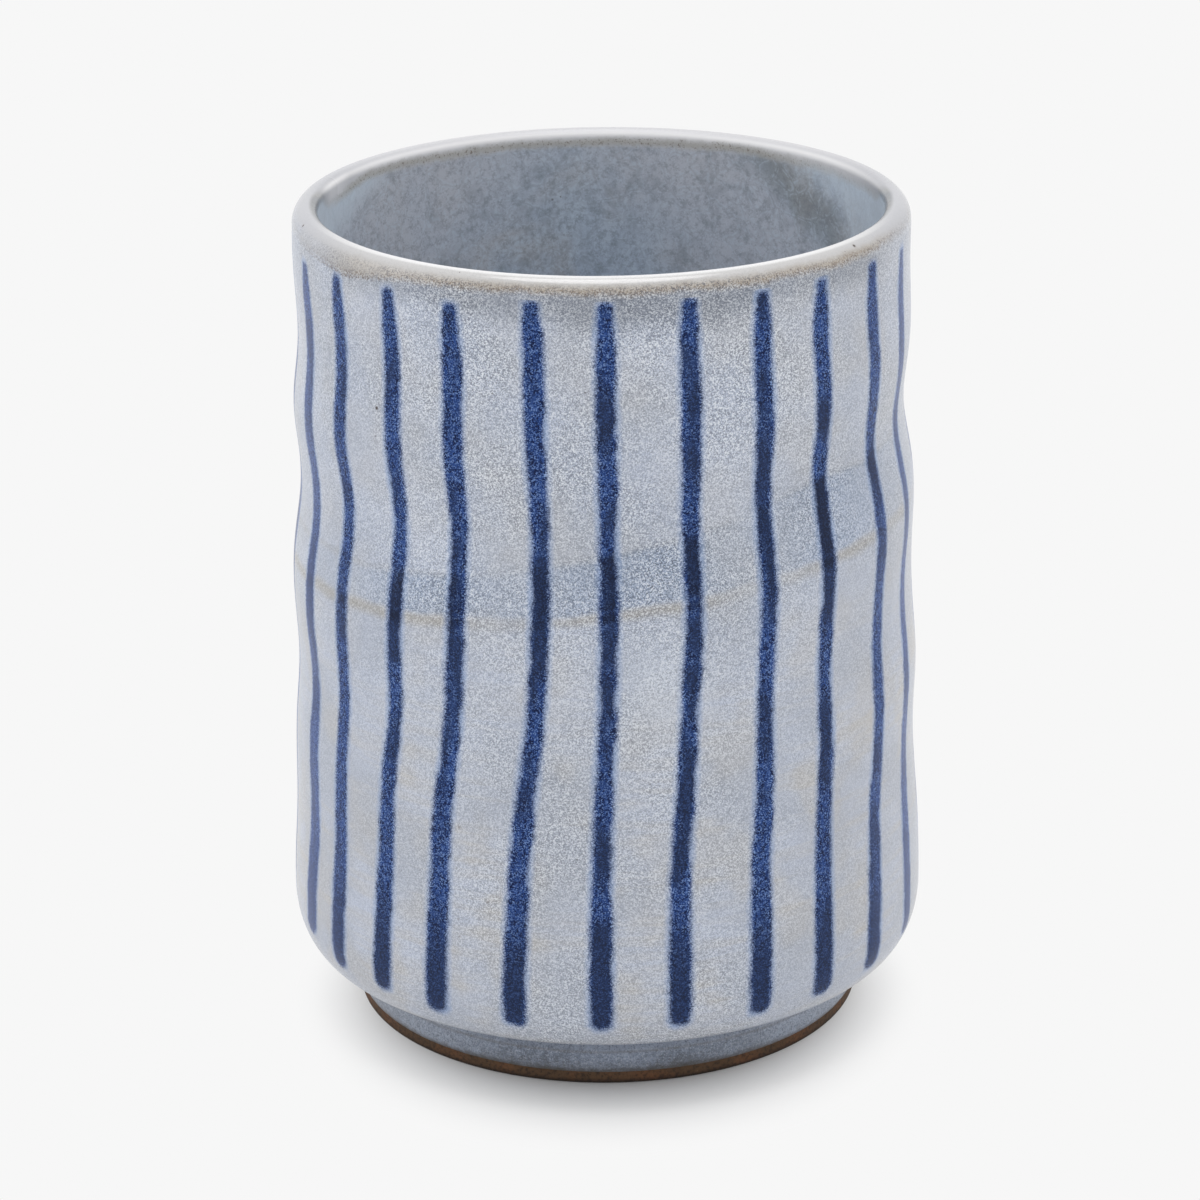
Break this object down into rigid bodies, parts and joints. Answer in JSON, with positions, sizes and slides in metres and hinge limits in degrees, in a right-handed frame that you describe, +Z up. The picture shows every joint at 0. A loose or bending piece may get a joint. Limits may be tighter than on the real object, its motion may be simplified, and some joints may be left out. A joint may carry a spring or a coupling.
{
  "type": "yunomi tea cup",
  "caption": "Tall handleless stoneware tea cup on a turned foot ring, with a spiral-grooved wall, pale glaze and upright cobalt brush strokes.",
  "frame": {"origin": "centre of the foot's standing face, on the cup's axis", "axes": "+Z up along the cup's axis, -Y towards the front, which has the first brush stroke"},
  "size_m": [0.0772, 0.0773, 0.1],
  "materials": {
    "body_clay": "fired stoneware under the glaze",
    "foot_clay": "bare dark-fired stoneware",
    "pale_glaze": "pale grey-white ash glaze with fine grain",
    "lip_glaze": "thin glaze that breaks to tan below the lip",
    "inside_glaze": "grey-blue glaze with fine craze lines",
    "foot_glaze": "mottled blue-grey glaze that thins to brown",
    "cobalt": "mottled cobalt brushwork with soft edges"
  },
  "bodies": {
    "root": {"clay_body": "body_clay", "foot_ring": "foot_clay", "outer_glaze": "pale_glaze", "lip_glaze": "lip_glaze", "inner_glaze": "inside_glaze", "foot_glaze": "foot_glaze", "well_glaze": "foot_glaze", "stripe_01": "cobalt", "stripe_02": "cobalt", "stripe_03": "cobalt", "stripe_04": "cobalt", "stripe_05": "cobalt", "stripe_06": "cobalt", "stripe_07": "cobalt", "stripe_08": "cobalt", "stripe_09": "cobalt", "stripe_10": "cobalt", "stripe_11": "cobalt", "stripe_12": "cobalt", "stripe_13": "cobalt", "stripe_14": "cobalt", "stripe_15": "cobalt", "stripe_16": "cobalt", "stripe_17": "cobalt", "stripe_18": "cobalt", "stripe_19": "cobalt", "stripe_20": "cobalt", "stripe_21": "cobalt", "stripe_22": "cobalt", "stripe_23": "cobalt", "stripe_24": "cobalt", "stripe_25": "cobalt"}
  },
  "joints": []
}
